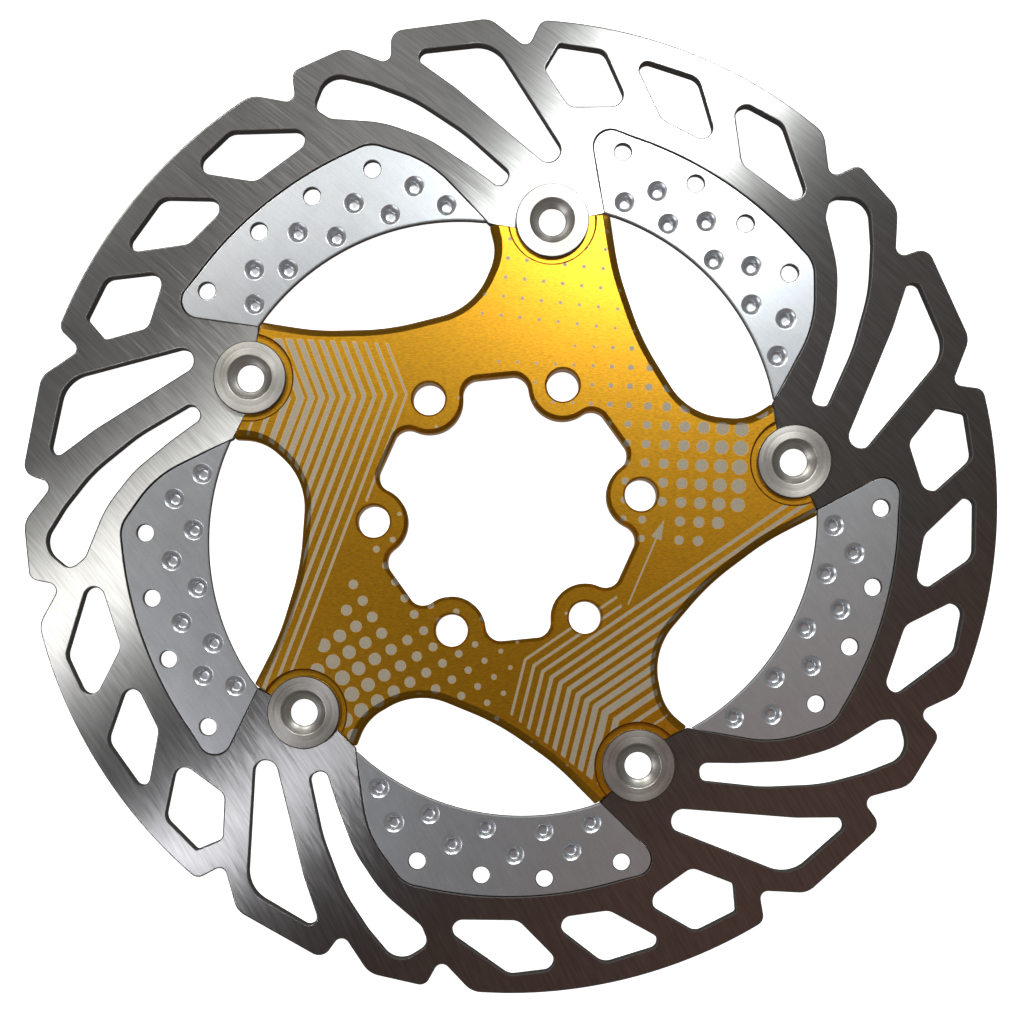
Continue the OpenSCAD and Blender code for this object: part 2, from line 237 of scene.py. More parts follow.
# ---------------------------------------------------------------- meshes
class Shell:
    """Closed mesh made of point loops, strips between them and caps."""

    def __init__(self):
        self.v, self.f = [], []

    def loop(self, pts, z):
        n = len(self.v)
        self.v += [(p[0], p[1], z) for p in pts]
        return list(range(n, len(self.v)))

    def strip(self, a, b, mat=0):
        n = len(a)
        for i in range(n):
            j = (i + 1) % n
            self.f.append(((a[i], a[j], b[j], b[i]), mat, True))

    def levels(self, loops, mats):
        for i, m in enumerate(mats):
            self.strip(loops[i], loops[i + 1], m)
        return loops[0], loops[-1]

    def cap(self, loops, mat=0):
        """Flat face bounded by the first loop, with the others as holes."""
        flat, sides = [], []
        for l in loops:
            n = len(flat)
            flat += l
            sides += [(n + i, n + (i + 1) % len(l)) for i in range(len(l))]
        pts = [Vector(self.v[i][:2]) for i in flat]
        out, _, faces, ids, _, _ = delaunay_2d_cdt(pts, sides, [], 1, 1e-7)
        ends = [[tuple(pts[i]) for i in e] for e in sides]
        lo = min(min(a[1], b[1]) for a, b in ends)
        rows, height = {}, max(0.5, (max(max(a[1], b[1]) for a, b in ends) - lo) / 200)
        for a, b in ends:
            for r in range(int((min(a[1], b[1]) - lo) / height), int((max(a[1], b[1]) - lo) / height) + 1):
                rows.setdefault(r, []).append((a, b))
        for t in faces:
            x, y = sum((out[i] for i in t), Vector((0, 0))) / len(t)
            inside = False
            for (ax, ay), (bx, by) in rows.get(int((y - lo) / height), ()):
                if (ay > y) != (by > y) and x < ax + (bx - ax) * (y - ay) / (by - ay):
                    inside = not inside
            if inside:
                self.f.append((tuple(flat[ids[i][0]] for i in t), mat, False))

    def lathe(self, profile, at=(0, 0), n=96, mats=None):
        """Loops of a profile of (radius, z) turned about a vertical axis."""
        return [self.loop(circle(at[0], at[1], r, n), z) for r, z in profile]

    def make(self, name, materials, body, node, weld=0.0012, sharp=32, ring_uv=None):
        bm = bmesh.new()
        verts = [bm.verts.new((x * MM, y * MM, z * MM)) for x, y, z in self.v]
        for idx, mat, smooth in self.f:
            if len(set(idx)) < 3:
                continue
            try:
                f = bm.faces.new([verts[i] for i in idx])
            except ValueError:
                continue
            f.material_index, f.smooth = mat, smooth
        bmesh.ops.remove_doubles(bm, verts=bm.verts, dist=weld * MM)
        bmesh.ops.dissolve_degenerate(bm, edges=bm.edges, dist=0.0005 * MM)
        loose = [v for v in bm.verts if not v.link_faces]
        bmesh.ops.delete(bm, geom=loose, context="VERTS")
        bmesh.ops.recalc_face_normals(bm, faces=bm.faces)
        uv = bm.loops.layers.uv.new("brush")
        for f in bm.faces:
            turned = [math.atan2(l.vert.co.y - ring_uv[1] * MM, l.vert.co.x - ring_uv[0] * MM) for l in f.loops] if ring_uv else None
            for i, l in enumerate(f.loops):
                x, y, z = l.vert.co / MM
                if ring_uv:
                    a = turned[i]
                    if a < 0 and max(turned) > 2:
                        a += 2 * math.pi
                    l[uv].uv = ((math.hypot(x - ring_uv[0], y - ring_uv[1]) - 0.3 * z) / 10, a)
                else:
                    l[uv].uv = ((x * ACROSS[0] + y * ACROSS[1]) / 100, (x * ALONG[0] + y * ALONG[1]) / 100)
        mesh = bpy.data.meshes.new(name)
        bm.to_mesh(mesh)
        bm.free()
        for m in materials:
            mesh.materials.append(m)
        mesh.set_sharp_from_angle(angle=math.radians(sharp))
        obj = bpy.data.objects.new(name, mesh)
        bpy.context.scene.collection.objects.link(obj)
        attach(obj, body)
        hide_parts(node)
        return obj


# ---------------------------------------------------------------- materials
class Finish:
    """A Principled material and short names for the nodes that drive it."""

    def __init__(self, name, **constants):
        self.mat = bpy.data.materials.new(name)
        self.mat.use_nodes = True
        self.tree = self.mat.node_tree
        self.tree.nodes.clear()
        out = self.tree.nodes.new("ShaderNodeOutputMaterial")
        self.bsdf = self.tree.nodes.new("ShaderNodeBsdfPrincipled")
        self.tree.links.new(self.bsdf.outputs[0], out.inputs[0])
        for key, value in constants.items():
            self.bsdf.inputs[key.replace("_", " ")].default_value = value
        co = self.node("ShaderNodeTexCoord")
        scale = self.node("ShaderNodeVectorMath", operation="SCALE")
        scale.inputs["Scale"].default_value = 1 / MM
        self.tree.links.new(co.outputs["Object"], scale.inputs[0])
        self.p = scale.outputs[0]
        sep = self.node("ShaderNodeSeparateXYZ")
        self.tree.links.new(self.p, sep.inputs[0])
        self.x, self.y, self.z = sep.outputs

    def node(self, kind, **props):
        n = self.tree.nodes.new(kind)
        for k, v in props.items():
            setattr(n, k, v)
        return n

    def put(self, socket, value):
        if isinstance(value, bpy.types.NodeSocket):
            self.tree.links.new(value, socket)
        else:
            socket.default_value = value

    def math(self, op, *args, clamp=False):
        n = self.node("ShaderNodeMath", operation=op, use_clamp=clamp)
        for s, a in zip(n.inputs, args):
            self.put(s, a)
        return n.outputs[0]

    def add(self, *args):
        total = args[0]
        for a in args[1:]:
            total = self.math("ADD", total, a)
        return total

    def mul(self, *args):
        total = args[0]
        for a in args[1:]:
            total = self.math("MULTIPLY", total, a)
        return total

    def line(self, ax, ay, c):
        """ax * x + ay * y + c"""
        return self.math("MULTIPLY_ADD", self.x, ax, self.math("MULTIPLY_ADD", self.y, ay, c))

    def vec(self, x, y, z=0.0):
        n = self.node("ShaderNodeCombineXYZ")
        for s, a in zip(n.inputs, (x, y, z)):
            self.put(s, a)
        return n.outputs[0]

    def noise(self, vector, scale, detail=2.0, rough=0.5, distortion=0.0):
        n = self.node("ShaderNodeTexNoise")
        self.put(n.inputs["Vector"], vector)
        n.inputs["Scale"].default_value = scale
        n.inputs["Detail"].default_value = detail
        n.inputs["Roughness"].default_value = rough
        n.inputs["Distortion"].default_value = distortion
        return n.outputs["Fac"]

    def span(self, value, a, b, lo=0.0, hi=1.0, smooth=False):
        n = self.node("ShaderNodeMapRange", interpolation_type="SMOOTHSTEP" if smooth else "LINEAR")
        for s, v in zip(n.inputs, (value, a, b, lo, hi)):
            self.put(s, v)
        return n.outputs[0]

    def mix(self, fac, a, b, blend="MIX"):
        n = self.node("ShaderNodeMix", data_type="RGBA", blend_type=blend)
        self.put(n.inputs["Factor"], fac)
        self.put(n.inputs[6], a)
        self.put(n.inputs[7], b)
        return n.outputs[2]

    def streaks(self, direction, length, width, detail=2.0, seed=0.0):
        """Noise drawn out along a direction, both sizes in mm."""
        c, s = math.cos(direction), math.sin(direction)
        return self.noise(self.vec(self.line(c / length, s / length, seed), self.line(-s / width, c / width, seed * 1.7),
                                   self.mul(self.z, 0.4)), 1.0, detail, 0.55)

    def scratches(self, direction, length, width, seed, share=0.62):
        """Sparse thin scratches: contour lines of drawn-out noise, kept in patches."""
        n = self.streaks(direction, length, width, 1.0, seed)
        thin = self.span(self.math("ABSOLUTE", self.math("SUBTRACT", n, 0.5)), 0.0, 0.012, 1.0, 0.0)
        patch = self.span(self.noise(self.vec(self.x, self.y, seed), 0.11, 1.0), share, share + 0.05)
        return self.mul(thin, patch)

    def bump(self, height, distance, strength=1.0, normal=None):
        n = self.node("ShaderNodeBump")
        n.inputs["Distance"].default_value = distance * MM
        n.inputs["Strength"].default_value = strength
        self.put(n.inputs["Height"], height)
        if normal is not None:
            self.put(n.inputs["Normal"], normal)
        return n.outputs[0]

    def tangent(self):
        n = self.node("ShaderNodeTangent", direction_type="UV_MAP", uv_map="brush")
        self.tree.links.new(n.outputs[0], self.bsdf.inputs["Tangent"])

    def brushed(self, sizes, scatter):
        """Gently curved brush lines. Returns noise drawn out along them for each (length, width) in mm, and sets
        the tangent across the lines, scattered by the given angles."""
        lean = self.math("MULTIPLY_ADD", self.y, BEND, GRAIN)
        size = self.math("LOGARITHM", self.math("ABSOLUTE", self.math("SINE", lean)), math.e)
        across = self.mul(self.math("MULTIPLY_ADD", size, -1 / BEND, self.x), 0.75)
        made = []
        for i, (length, width) in enumerate(sizes):
            made.append(self.noise(self.vec(self.mul(self.y, 1.3 / length), self.mul(across, 1 / width),
                                            self.math("MULTIPLY_ADD", self.z, 0.4, 3.1 + 4.3 * i)), 1.0, 1.0, 0.5))
        for n, angle in zip(made, scatter):
            if angle:
                lean = self.add(lean, self.span(n, 0.2, 0.8, -angle, angle))
        n = self.node("ShaderNodeVectorTransform", vector_type="VECTOR", convert_from="OBJECT", convert_to="WORLD")
        self.put(n.inputs[0], self.vec(self.mul(self.math("SINE", lean), -1.0), self.math("COSINE", lean), 0.0))
        self.tree.links.new(n.outputs[0], self.bsdf.inputs["Tangent"])
        return made

    def set(self, **links):
        for key, value in links.items():
            self.put(self.bsdf.inputs[key.replace("_", " ")], value)
        return self.mat


def brushed_stainless():
    f = Finish("brushed_stainless", Metallic=1.0, Anisotropic=1.0, Specular_IOR_Level=0.5)
    wide, fine, stray, thin = f.brushed([(9, 0.45), (4.5, 0.25), (7, 0.34), (4, 0.22)], [0.0, 0.0, 0.06, 0.05])
    blot = f.noise(f.p, 0.06, 3.0)
    marks = f.math("MAXIMUM", f.scratches(GRAIN + 0.5, 9, 0.8, 2.3, 0.68), f.scratches(GRAIN - 1.1, 8, 0.9, 8.9, 0.68))
    speck = f.span(f.noise(f.p, 2.6, 1.0), 0.74, 0.80)
    tone = f.add(f.mul(wide, 0.45), f.mul(fine, 0.55))
    colour = f.mix(f.span(tone, 0.3, 0.7), (0.272, 0.266, 0.260, 1), (0.398, 0.391, 0.384, 1))
    colour = f.mix(f.mul(marks, 0.2), colour, (0.55, 0.54, 0.53, 1))
    colour = f.mix(f.mul(speck, 0.3), colour, (0.55, 0.54, 0.53, 1))
    rough = f.add(f.span(tone, 0.25, 0.75, 0.275, 0.284), f.span(blot, 0.3, 0.7, 0.0, 0.004))
    height = f.add(f.mul(stray, 0.5), f.mul(thin, 0.5))
    return f.set(Base_Color=colour, Roughness=rough, Normal=f.bump(height, 0.004, 0.12))


def cut_edge_and_shade(name, dark, light, metallic):
    """Dull dark edge with fine upright lines: laser-cut or punched walls, and painted shade on some edge strips."""
    f = Finish(name, Metallic=metallic, Specular_IOR_Level=0.3)
    lines = f.noise(f.vec(f.mul(f.x, 5.0), f.mul(f.y, 5.0), f.mul(f.z, 0.5)), 1.0, 2.0)
    colour = f.mix(f.span(lines, 0.3, 0.7), dark, light)
    return f.set(Base_Color=colour, Roughness=f.span(lines, 0.3, 0.7, 0.45, 0.65), Normal=f.bump(lines, 0.02, 0.4))


def satin_aluminium():
    f = Finish("satin_aluminium", Metallic=0.79, Anisotropic=0.1, Specular_IOR_Level=0.4)
    lines, = f.brushed([(5, 0.3)], [0.0])
    grain = f.noise(f.p, 3.2, 2.0, 0.6)
    soft = f.noise(f.p, 0.3, 2.0)
    marks = f.math("MAXIMUM", f.scratches(GRAIN + 0.25, 6, 0.8, 6.1, 0.62), f.scratches(GRAIN + 1.3, 5, 0.9, 1.9, 0.66))
    tone = f.add(f.mul(grain, 0.45), f.mul(lines, 0.35), f.mul(soft, 0.2))
    colour = f.mix(f.span(tone, 0.33, 0.67), (0.495, 0.512, 0.545, 1), (0.575, 0.592, 0.625, 1))
    colour = f.mix(f.mul(marks, 0.35), colour, (0.68, 0.685, 0.70, 1))
    rough = f.span(tone, 0.3, 0.7, 0.285, 0.325)
    height = f.add(f.mul(grain, 0.6), f.mul(lines, 0.4), f.mul(marks, -0.3))
    return f.set(Base_Color=colour, Roughness=rough, Normal=f.bump(height, 0.005, 0.12))


def turned_stainless():
    f = Finish("turned_stainless", Metallic=1.0, Anisotropic=0.5, Specular_IOR_Level=0.5)
    f.tangent()
    uv = f.node("ShaderNodeUVMap", uv_map="brush")
    sep = f.node("ShaderNodeSeparateXYZ")
    f.tree.links.new(uv.outputs[0], sep.inputs[0])
    r = f.mul(sep.outputs[0], 10.0)
    rings = f.noise(f.vec(f.mul(r, 5.5), f.mul(sep.outputs[1], 0.5), 0.0), 1.0, 3.0, 0.6)
    broad = f.noise(f.vec(f.mul(r, 1.4), f.mul(sep.outputs[1], 0.25), 4.0), 1.0, 1.0)
    grain = f.noise(f.p, 2.4, 2.0)
    tone = f.add(f.mul(rings, 0.6), f.mul(broad, 0.2), f.mul(grain, 0.2))
    colour = f.mix(f.span(tone, 0.33, 0.67), (0.36, 0.341, 0.318, 1), (0.56, 0.54, 0.514, 1))
    return f.set(Base_Color=colour, Roughness=f.span(tone, 0.3, 0.7, 0.35, 0.42),
                 Normal=f.bump(f.add(f.mul(rings, 0.7), f.mul(grain, 0.3)), 0.02, 0.5))


def spring_steel():
    f = Finish("spring_steel", Metallic=1.0, Specular_IOR_Level=0.5)
    grain = f.noise(f.p, 1.8, 3.0)
    soft = f.noise(f.p, 0.4, 2.0)
    colour = f.mix(f.span(f.add(f.mul(grain, 0.5), f.mul(soft, 0.5)), 0.3, 0.7), (0.30, 0.295, 0.30, 1), (0.46, 0.45, 0.45, 1))
    return f.set(Base_Color=colour, Roughness=f.span(grain, 0.3, 0.7, 0.28, 0.42), Normal=f.bump(grain, 0.01, 0.4))


def dots(f, origin, tilt, pitch, biggest, fall, centre, smallest, allowed):
    """Halftone dots on a square lattice that shrink away from a rivet. allowed(cx, cy) keeps whole dots."""
    c, s = math.cos(math.radians(tilt)), math.sin(math.radians(tilt))
    u = f.line(c / pitch, s / pitch, -(origin[0] * c + origin[1] * s) / pitch)
    v = f.line(-s / pitch, c / pitch, (origin[0] * s - origin[1] * c) / pitch)
    iu, iv = f.math("ROUND", u), f.math("ROUND", v)
    cx = f.math("MULTIPLY_ADD", iu, c * pitch, f.math("MULTIPLY_ADD", iv, -s * pitch, origin[0]))
    cy = f.math("MULTIPLY_ADD", iu, s * pitch, f.math("MULTIPLY_ADD", iv, c * pitch, origin[1]))
    dx, dy = f.math("SUBTRACT", f.x, cx), f.math("SUBTRACT", f.y, cy)
    d = f.math("SQRT", f.add(f.mul(dx, dx), f.mul(dy, dy)))
    ex, ey = f.math("SUBTRACT", cx, centre[0]), f.math("SUBTRACT", cy, centre[1])
    far = f.math("SQRT", f.add(f.mul(ex, ex), f.mul(ey, ey)))
    radius = f.math("MAXIMUM", f.math("MULTIPLY_ADD", far, -fall / 2, biggest / 2), smallest / 2)
    edge = f.math("SUBTRACT", d, radius)
    return f.mul(f.span(edge, -0.05, 0.05, 1.0, 0.0), allowed(cx, cy))


def above(f, cx, cy, ax, ay, c):
    """1 where ax * x + ay * y > c"""
    return f.math("GREATER_THAN", f.math("MULTIPLY_ADD", cx, ax, f.mul(cy, ay)), c)


def in_arm(k, ax, ay):
    """Direction (ax, ay) given in the frame of arm k, as a direction of the whole part."""
    x, y = turn([(ax, ay)], FIRST - 90 + STEP * k)[0]
    return x, y


def stripes(f, k, lean, at_0, gap, rise, at_8, gap_up, wide, thinner, last, short):
    """Bent stripes of arm k: a nearly straight family and one that turns up beside it, widest at the rivet."""
    def coord(deg, through, pitch):
        nx, ny = -math.sin(math.radians(deg)), math.cos(math.radians(deg))
        wx, wy = in_arm(k, nx, ny)
        c = through[0] * nx + through[1] * ny
        return f.line(-wx / pitch, -wy / pitch, c / pitch)
    flat = coord(lean, (0, at_0), gap)
    steep = coord(rise, (8, at_8), gap_up)
    m = f.math("MAXIMUM", flat, steep)
    m = f.math("MAXIMUM", m, f.mul(m, 0.78))
    i = f.math("ROUND", m)
    half = f.math("MINIMUM", f.math("MULTIPLY_ADD", i, -thinner / (2 * gap), wide / (2 * gap)),
                  f.math("MULTIPLY_ADD", i, 0.08, wide / (2 * gap)))
    off = f.math("SUBTRACT", f.math("ABSOLUTE", f.math("SUBTRACT", m, i)), half)
    on = f.span(off, -0.03, 0.03, 1.0, 0.0)
    rx, ry = in_arm(k, 1, 0.45)
    lx, ly = in_arm(k, 1, 0)
    ux, uy = in_arm(k, 0, 1)
    on = f.mul(on, f.span(f.line(rx, ry, 0.0), 28.4, 28.6, 1.0, 0.0))
    on = f.mul(on, f.math("LESS_THAN", i, last + 0.5))
    on = f.mul(on, f.math("GREATER_THAN", f.line(ux, uy, 0.0), 4.0))
    kept = f.math("MAXIMUM", f.math("LESS_THAN", i, short - 0.5), f.math("GREATER_THAN", f.line(lx, ly, 0.0), -9.4))
    zone = f.mul(f.math("LESS_THAN", m, last + 0.75), f.math("LESS_THAN", f.line(rx, ry, 0.0), 29.2),
                 f.math("GREATER_THAN", f.line(ux, uy, 0.0), 4.0))
    return f.mul(on, kept), zone


def gold_anodised():
    f = Finish("gold_anodised", Metallic=0.92, Specular_IOR_Level=0.5, Coat_Weight=0.5, Coat_Roughness=0.28)
    first, _ = stripes(f, 2, 6.0, 38.21, 1.603, 48.0, 46.31, 1.636, 1.03, 0.068, 10, 10)
    second, zone = stripes(f, 4, 7.3, 36.92, 1.607, 49.0, 45.19, 1.637, 1.02, 0.069, 9, 8)
    zone_2 = _
    clear = f.math("SUBTRACT", 1.0, f.math("MAXIMUM", zone, zone_2))

    def near_right(cx, cy):
        ax, ay = in_arm(0, 1, 0.3)
        low = f.math("SUBTRACT", 1.0, above(f, cx, cy, ax, ay, 19.6))
        hx, hy = in_arm(0, 1, 0)
        vx, vy = in_arm(0, 0, 1)
        low = f.mul(low, f.math("MAXIMUM", above(f, cx, cy, vx, vy, 24.0), f.math("SUBTRACT", 1.0, above(f, cx, cy, hx, hy, 9.5))))
        top = f.math("SUBTRACT", 1.0, above(f, cx, cy, 0.05, 1, 28.6))
        bare = f.mul(above(f, cx, cy, 0, 1, 25.4), f.math("LESS_THAN", cx, 10.6))
        bare_2 = f.mul(above(f, cx, cy, 0, 1, 19.0), f.math("LESS_THAN", cx, -1.6))
        side = above(f, cx, cy, math.sin(math.radians(58)), math.cos(math.radians(58)), 0.0)
        bare_3 = f.mul(f.math("LESS_THAN", f.math("ABSOLUTE", f.math("SUBTRACT", cx, 24.9)), 1.2),
                       f.math("LESS_THAN", f.math("ABSOLUTE", f.math("ADD", cy, 3.7)), 2.8))
        ex, ey = f.math("SUBTRACT", cx, 46.8), f.math("SUBTRACT", cy, 7.5)
        seat = f.math("LESS_THAN", f.add(f.mul(ex, ex), f.mul(ey, ey)), 7.7 * 7.7)
        bare_3 = f.math("MAXIMUM", bare_3, seat)
        free = f.math("SUBTRACT", 1.0, above(f, cx, cy, 0.574, -0.819, 22.8))
        keep = f.mul(low, top, side, free)
        return f.mul(keep, f.math("SUBTRACT", 1.0, f.math("MAXIMUM", f.math("MAXIMUM", bare, bare_2), bare_3)))

    def top_arm(cx, cy):
        return f.mul(above(f, cx, cy, 0.05, 1, 28.6), above(f, cx, cy, 1, 0.28, 2.2))

    def lower_left(cx, cy):
        ax, ay = in_arm(3, 1, 0.3)
        keep = f.math("SUBTRACT", 1.0, above(f, cx, cy, ax, ay, 17.3))
        side = f.math("SUBTRACT", 1.0, above(f, cx, cy, math.sin(math.radians(58)), math.cos(math.radians(58)), 0.0))
        tx, ty = in_arm(3, 0.2, 1)
        hx, hy = in_arm(3, 1, 0)
        mark = f.mul(f.math("LESS_THAN", f.math("ABSOLUTE", f.math("SUBTRACT", f.math("MULTIPLY_ADD", cx, tx, f.mul(cy, ty)), 25.75)), 1.7),
                     above(f, cx, cy, hx, hy, -1.6), f.math("SUBTRACT", 1.0, above(f, cx, cy, hx, hy, 10.2)))
        return f.mul(keep, side, f.math("SUBTRACT", 1.0, mark))

    spots = dots(f, (31.73, 6.88), -2.72, 3.0816, 3.04, 0.069, (46.8, 7.5), 0.5, near_right)
    others = f.math("MAXIMUM", dots(f, (2.1, 31.05), -6.7, 3.12, 0.76, 0.012, (7.3, 46.8), 0.45, top_arm),
                    dots(f, (-13.22, -26.97), 30.16, 3.089, 2.96, 0.064, (-33.5, -33.6), 0.5, lower_left))
    etched = f.math("MAXIMUM", f.math("MAXIMUM", first, second), f.math("MAXIMUM", spots, f.mul(others, clear)))
    # a plain arrow beside the first arm
    bx, by = turn([(6.0, 25.0)], FIRST - 90)[0]
    ux, uy = in_arm(0, math.cos(math.radians(-32)), math.sin(math.radians(-32)))
    along = f.line(ux, uy, -(bx * ux + by * uy))
    side = f.math("ABSOLUTE", f.line(-uy, ux, bx * uy - by * ux))
    head = f.mul(f.span(f.math("SUBTRACT", side, f.mul(along, 0.26)), -0.03, 0.03, 1.0, 0.0),
                 f.math("LESS_THAN", along, 3.3), f.math("GREATER_THAN", along, 0.0))
    shaft = f.mul(f.span(side, 0.1, 0.16, 1.0, 0.0), f.math("GREATER_THAN", along, 3.0), f.math("LESS_THAN", along, 15.0))
    etched = f.math("MAXIMUM", etched, f.math("MAXIMUM", head, shaft))
    # front side only: the top face and the bevel
    etched = f.mul(etched, f.math("GREATER_THAN", f.z, 2.3))
    grain = f.noise(f.p, 3.4, 2.0, 0.65)
    soft = f.noise(f.p, 0.12, 2.0)
    lines = f.streaks(0.0, 0.75, 0.17, 1.0, 2.2)
    tone = f.add(f.mul(grain, 0.3), f.mul(lines, 0.7))
    gold = f.mix(f.span(tone, 0.3, 0.7), (0.655, 0.298, 0.003, 1), (0.96, 0.462, 0.007, 1))
    gold = f.mix(f.span(soft, 0.35, 0.65, 0.0, 0.12), gold, (0.86, 0.385, 0.003, 1))
    grey = f.mix(f.span(grain, 0.3, 0.7), (0.40, 0.355, 0.275, 1), (0.48, 0.425, 0.335, 1))
    colour = f.mix(etched, gold, grey)
    rough = f.add(f.span(tone, 0.3, 0.7, 0.276, 0.292), f.mul(etched, 0.42))
    height = f.add(f.mul(lines, 0.5), f.mul(etched, -0.8))
    return f.set(Base_Color=colour, Roughness=rough, Normal=f.bump(height, 0.008, 0.05))


M_RING = brushed_stainless()
# Dull dark colour of the ring's cut walls; also painted shade on rounded top edges and on the rivet flange rims.
M_RING_EDGE_AND_SHADE = cut_edge_and_shade("ring_edge_and_shade", (0.055, 0.05, 0.047, 1), (0.13, 0.12, 0.112, 1), 0.5)
M_FIN = satin_aluminium()
# Dull dark colour of the fins' cut walls; also painted shade on their rounded top edges against the ring.
M_FIN_EDGE_AND_SHADE = cut_edge_and_shade("fin_edge_and_shade", (0.11, 0.112, 0.118, 1), (0.22, 0.222, 0.23, 1), 0.6)
M_FIN_ROUND = cut_edge_and_shade("fin_round", (0.24, 0.246, 0.256, 1), (0.36, 0.366, 0.378, 1), 0.7)
M_GOLD = gold_anodised()
# Dark brown painted shade for the chamfer round the rivet counterbores.
M_GOLD_PAINTED_SHADE = cut_edge_and_shade("gold_painted_shade", (0.13, 0.05, 0.003, 1), (0.24, 0.095, 0.005, 1), 0.6)
M_TURNED = turned_stainless()
M_SPRING = spring_steel()


# ---------------------------------------------------------------- pieces
def wall_set(s, base, levels, mats, way=1):
    """Loops of one outline at (z, offset) levels, joined by strips."""
    loops = [s.loop(push(base, way * d) if d else base, z) for z, d in levels]
    return s.levels(loops, mats)


def friction_ring():
    s = Shell()
    # Strips 1 and 2 round the top edge and take the dark edge colour like the walls: painted shade that draws the edges
    # as dark lines.
    edge = [(RING_TOP, 0.24), (RING_TOP, 0.18), (1.978, 0.06), (1.92, 0), (0.26, 0), (0.215, 0.05), (RING_LOW, 0.14)]
    mats = [0, 1, 1, 1, 1, 1]
    rim = push(rounded(RIM)[0], 0.02)
    tops, lows = [], []
    t, l = wall_set(s, rim, edge, mats)
    tops.append(t)
    lows.append(l)
    for k in range(ARMS):
        for w in WINDOWS:
            pts, _ = rounded(turn(w, FIRST - 90 - STEP * k))
            t, l = wall_set(s, pts, edge, mats, -1)
            tops.append(t)
            lows.append(l)
    pocket, counts = rounded(all_arms(POCKET))
    inner, _ = rounded(all_arms(INNER), counts)
    C = cuts(pocket, 2.2)
    pocket, inner = divided(pocket, C), divided(inner, C)
    tabs = [q for k in range(ARMS) for q in turn([TAB[0], TAB[-1]], FIRST - 90 - STEP * k)]
    rivets = [turn([SEAT], FIRST - 90 - STEP * k)[0] for k in range(ARMS)]
    roll = []
    for p in pocket:
        near = min(math.dist(p, q[:2]) for q in tabs)
        at_tab = min(math.dist(p, q) for q in rivets) < 10.9 and math.hypot(*p) < 51.5 and near < 21
        w = max(0.0, min(1.0, (near - 0.6) / 4.5))
        roll.append(0.07 if at_tab and math.hypot(*p) < 50.8 and near < 12 and on_tab(p) else 0.07 + 0.93 * w)
    # The pocket's rounded top edge is dark too: painted shade for the shadowed gap against the fin.
    levels = [(RING_TOP, 0.2), (RING_TOP, 0.13), (1.985, 0.05), (1.94, 0), (LEDGE, 0)]
    loops = [s.loop(push(pocket, [-d * w for w in roll]) if d else pocket, z) for z, d in levels]
    s.levels(loops, [0, 1, 1, 1])
    tops.append(loops[0])
    shelf = s.loop(inner, LEDGE)
    s.strip(loops[-1], shelf, 1)
    under = s.loop(inner, 0.29)
    last = s.loop(push(inner, -0.08), RING_LOW)
    s.strip(shelf, under, 1)
    s.strip(under, last, 1)
    lows.append(last)
    s.cap(tops)
    s.cap(lows)
    return s.make("ring_body", [M_RING, M_RING_EDGE_AND_SHADE], "friction_ring", "brake_ring")


def on_tab(p):
    """True on the edge of a tab that faces the carrier."""
    for k in range(ARMS):
        x, y = turn([p], -(FIRST - 90 - STEP * k))[0]
        if -10.4 < x < 8.3 and 40 < y < 52 and (y < 50.3 or math.dist((x, y), SEAT) < SEAT_R + 0.2):
            return True
    return False


def cooling_fin(k):
    s = Shell()
    place = FIRST - 90 + STEP * (k - 1)
    base, low = turn(FIN, place), turn(FIN_LOW, place)
    _, counts = rounded(base)
    free = len(FIN) - len(FIN_EDGE) - 1
    inset = lambda P, d, e: rounded(shifted(P, [d if i < free else e for i in range(len(P))]), counts)[0]
    first = sum(counts[:free + 1]) - 1
    loops = [s.loop(inset(base, d, e), z) for z, d, e in
             [(FIN_TOP, 0.11, 0.36), (FIN_TOP, 0.06, 0.31), (1.793, 0.03, 0.2), (1.775, 0.01, 0.1), (1.735, 0, 0.03), (1.67, 0, 0),
              (LEDGE + 0.08, 0, 0), (LEDGE + 0.01, 0.06, 0.06)]]
    # On the edges against the ring the rounded top edge takes the dark edge colour as well as the walls: painted shade
    # for the shadowed gap between fin and ring.
    for i in range(7):
        n = len(loops[i])
        for j in range(n):
            edge = 0 if i == 0 or (i == 1 and j >= first) else 2 if i < 5 and j >= first else 1
            m = (j + 1) % n
            s.f.append(((loops[i][j], loops[i][m], loops[i + 1][m], loops[i + 1][j]), edge, True))
    a, b = loops[0], loops[-1]
    shelf = s.loop(inset(low, 0, 0.45), LEDGE + 0.01)
    s.strip(b, shelf, 1)
    down = s.loop(inset(low, 0, 0.45), 0.3)
    last = s.loop(inset(low, 0.1, 0.55), RING_LOW)
    s.strip(shelf, down, 1)
    s.strip(down, last, 1)
    tops, lows = [a], [last]
    for r, deg in HOLES:
        x, y = turn([(0, r)], place - deg)[0]
        loops = s.lathe([(1.62, FIN_TOP), (1.56, FIN_TOP), (1.48, 1.775), (1.42, 1.71), (1.4, 1.62), (1.4, 1.2), (1.6, 0.32), (1.62, 0.24), (1.66, RING_LOW)], (x, y), 44)
        s.levels(loops, [0, 1, 1, 1, 1, 1, 1, 1])
        tops.append(loops[0])
        lows.append(loops[-1])
    for p in DIMPLES:
        x, y = turn([p], place)[0]
        loops = s.lathe([(1.78, FIN_TOP), (1.72, FIN_TOP), (1.66, 1.792), (1.6, 1.77), (1.28, 1.615), (1.18, 1.54), (1.09, 1.36), (0.97, 0.92),
                         (0.9, 0.77), (0.79, 0.705), (0.4, 0.7), (0.12, 0.7)], (x, y), 40)
        s.levels(loops, [0] * 11)
        s.cap([loops[-1]])
        tops.append(loops[0])
    s.cap(tops)
    s.cap(lows)
    return s.make(f"fin_plate_{k}", [M_FIN, M_FIN_EDGE_AND_SHADE, M_FIN_ROUND], "friction_ring", f"cooling_fin_{k}")


